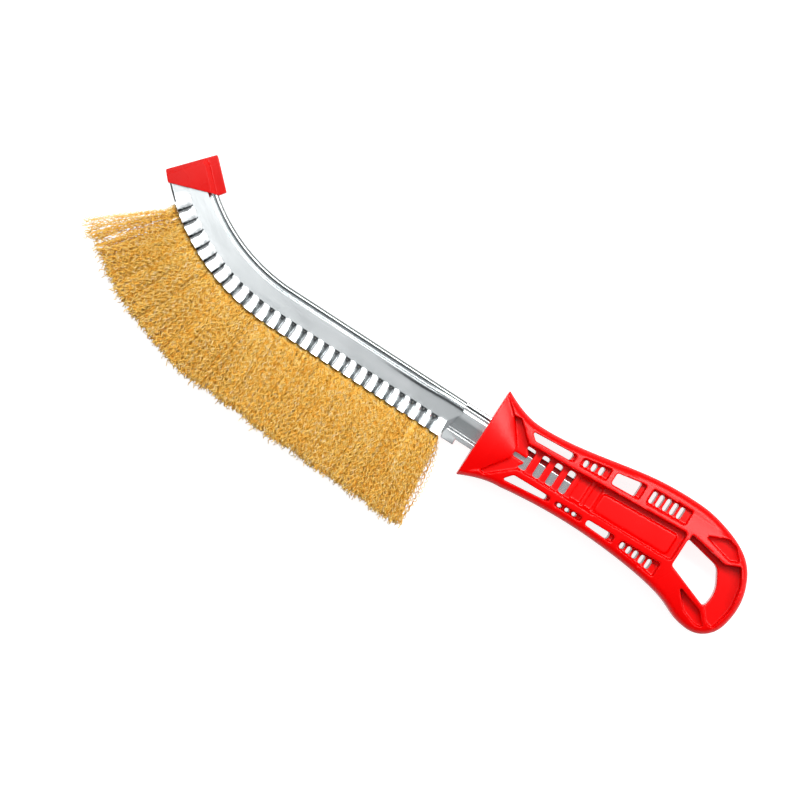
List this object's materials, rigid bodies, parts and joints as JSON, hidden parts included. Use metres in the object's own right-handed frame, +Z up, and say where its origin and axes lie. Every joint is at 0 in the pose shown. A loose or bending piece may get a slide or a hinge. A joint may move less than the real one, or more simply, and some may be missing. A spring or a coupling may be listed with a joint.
{
  "type": "wire brush",
  "caption": "Knife-pattern hand wire brush: folded bright steel holder with a curved tip, crimped brass-coloured wires, a red plastic tip cap and an open red plastic handle.",
  "frame": {"origin": "below the centre of the brush's outline, on the surface it lies on", "axes": "+X from the tip cap to the handle, +Y from the wires to the spine of the steel holder, +Z up out of the surface, through the thickness"},
  "size_m": [0.2826, 0.0782, 0.021],
  "materials": {
    "galvanised_sheet": "bright zinc-coated sheet, lightly scratched",
    "core_steel": "drawn wire",
    "crimped_wire": "crimped drawn wire, bright",
    "cap_plastic": "gloss moulded",
    "handle_plastic": "gloss moulded"
  },
  "bodies": {
    "root": {"steel_holder": "galvanised_sheet", "core_wire": "core_steel", "tip_cap": "cap_plastic", "handle": "handle_plastic", "wire_bundle_01": "crimped_wire", "wire_bundle_02": "crimped_wire", "wire_bundle_03": "crimped_wire", "wire_bundle_04": "crimped_wire", "wire_bundle_05": "crimped_wire", "wire_bundle_06": "crimped_wire", "wire_bundle_07": "crimped_wire", "wire_bundle_08": "crimped_wire", "wire_bundle_09": "crimped_wire", "wire_bundle_10": "crimped_wire", "wire_bundle_11": "crimped_wire", "wire_bundle_12": "crimped_wire", "wire_bundle_13": "crimped_wire", "wire_bundle_14": "crimped_wire", "wire_bundle_15": "crimped_wire", "wire_bundle_16": "crimped_wire", "wire_bundle_17": "crimped_wire", "wire_bundle_18": "crimped_wire", "wire_bundle_19": "crimped_wire", "wire_bundle_20": "crimped_wire", "wire_bundle_21": "crimped_wire", "wire_bundle_22": "crimped_wire", "wire_bundle_23": "crimped_wire", "wire_bundle_24": "crimped_wire", "wire_bundle_25": "crimped_wire", "wire_bundle_26": "crimped_wire", "wire_bundle_27": "crimped_wire"}
  },
  "joints": []
}
